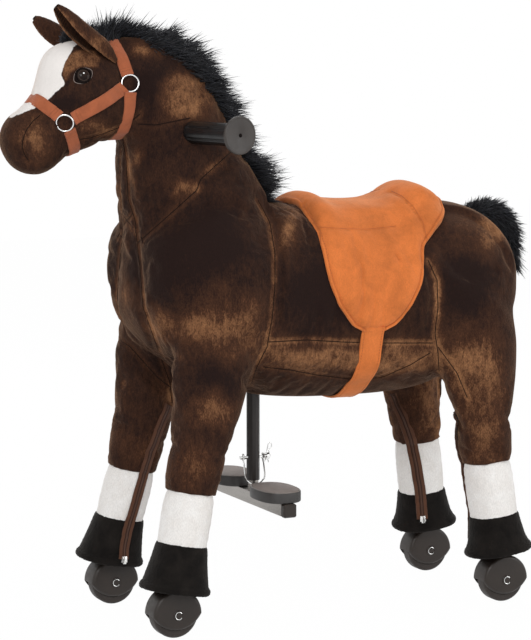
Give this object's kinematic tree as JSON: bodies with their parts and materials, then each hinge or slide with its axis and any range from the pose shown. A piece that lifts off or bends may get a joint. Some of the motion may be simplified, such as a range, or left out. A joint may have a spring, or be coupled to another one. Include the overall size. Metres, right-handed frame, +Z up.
{
  "type": "ride-on plush horse",
  "caption": "Ride-on plush horse on a sprung steel frame: hinged leg pairs on hooded wheels, swept handle grips, a stirrup bar with pedals, a felt saddle and a halter.",
  "frame": {"origin": "on the floor under the middle of the toy's outer box", "axes": "+Z up, -Y the way the horse faces, +X to the horse's left"},
  "size_m": [0.3912, 0.8642, 0.9042],
  "materials": {
    "brown_plush": "long-napped plush",
    "white_plush": "short plush",
    "black_plush": "short plush",
    "black_fur": "long shaggy fur",
    "orange_felt": "velour with stitched hems",
    "webbing": "woven tape",
    "black_plastic": "fine texture",
    "tread": "smooth, worn matt",
    "bright_steel": "zinc plated",
    "black_steel": "black powder coat",
    "plywood": "plain sanded",
    "eye": "high gloss"
  },
  "bodies": {
    "horse": {"spine_frame": "black_steel", "seat_board": "plywood", "handlebar": "black_steel", "grip_left": "black_plastic", "grip_right": "black_plastic", "front_hip_shaft": "bright_steel", "front_hip_bush": "black_plastic", "front_hip_nut": "bright_steel", "front_return_spring": "bright_steel", "hind_hip_shaft": "bright_steel", "hind_hip_bush": "black_plastic", "hind_hip_nut": "bright_steel", "hind_return_spring": "bright_steel", "stirrup_bar": "bright_steel", "bar_cap_left": "black_plastic", "bar_cap_right": "black_plastic", "pedal_left": "black_plastic", "pedal_right": "black_plastic", "lock_pin": "bright_steel", "torso": "brown_plush", "belly_panel": "brown_plush", "neck": "brown_plush", "head": "brown_plush", "ear_left": "brown_plush", "ear_right": "brown_plush", "eye_left": "eye", "eye_right": "eye", "mane": "black_fur", "tail": "black_fur", "saddle": "orange_felt", "girth": "orange_felt", "halter": "webbing"},
    "front_legs": {"front_leg_frame": "black_steel", "foreleg_left": "brown_plush", "foreleg_sock_left": "white_plush", "foreleg_hoof_left": "black_plush", "front_fork_left": "black_plastic", "front_axle_left": "bright_steel", "foreleg_right": "brown_plush", "foreleg_sock_right": "white_plush", "foreleg_hoof_right": "black_plush", "front_fork_right": "black_plastic", "front_axle_right": "bright_steel"},
    "hind_legs": {"hind_leg_frame": "black_steel", "hindleg_left": "brown_plush", "hindleg_sock_left": "white_plush", "hindleg_hoof_left": "black_plush", "hind_fork_left": "black_plastic", "hind_axle_left": "bright_steel", "hindleg_right": "brown_plush", "hindleg_sock_right": "white_plush", "hindleg_hoof_right": "black_plush", "hind_fork_right": "black_plastic", "hind_axle_right": "bright_steel"},
    "front_left_wheel": {"front_wheel_left": "tread"},
    "front_right_wheel": {"front_wheel_right": "tread"},
    "hind_left_wheel": {"hind_wheel_left": "tread"},
    "hind_right_wheel": {"hind_wheel_right": "tread"},
    "bail": {"pin_bail": "bright_steel"}
  },
  "joints": [
    {"name": "front_legs_swing", "type": "hinge", "parent": "horse", "child": "front_legs", "pos_m": [0, -0.1435, 0.515], "axis": [-1, 0, 0], "range_deg": [0, 10], "stiffness_Nm_per_rad": 70, "springref_deg": -14.9, "deforming": ["front_return_spring"]},
    {"name": "front_left_wheel_roll", "type": "hinge", "parent": "front_legs", "child": "front_left_wheel", "pos_m": [0.12, -0.2275, 0.035], "axis": [1, 0, 0], "continuous": true},
    {"name": "front_right_wheel_roll", "type": "hinge", "parent": "front_legs", "child": "front_right_wheel", "pos_m": [-0.12, -0.2275, 0.035], "axis": [1, 0, 0], "continuous": true},
    {"name": "hind_legs_swing", "type": "hinge", "parent": "horse", "child": "hind_legs", "pos_m": [0, 0.2615, 0.515], "axis": [1, 0, 0], "range_deg": [0, 10], "stiffness_Nm_per_rad": 70, "springref_deg": -14.9, "deforming": ["hind_return_spring"]},
    {"name": "hind_left_wheel_roll", "type": "hinge", "parent": "hind_legs", "child": "hind_left_wheel", "pos_m": [0.12, 0.3205, 0.035], "axis": [1, 0, 0], "continuous": true},
    {"name": "hind_right_wheel_roll", "type": "hinge", "parent": "hind_legs", "child": "hind_right_wheel", "pos_m": [-0.12, 0.3205, 0.035], "axis": [1, 0, 0], "continuous": true},
    {"name": "bail_swing", "type": "hinge", "parent": "horse", "child": "bail", "pos_m": [0, -0.0435, 0.232], "axis": [0, -1, 0], "range_deg": [0, 148]}
  ]
}
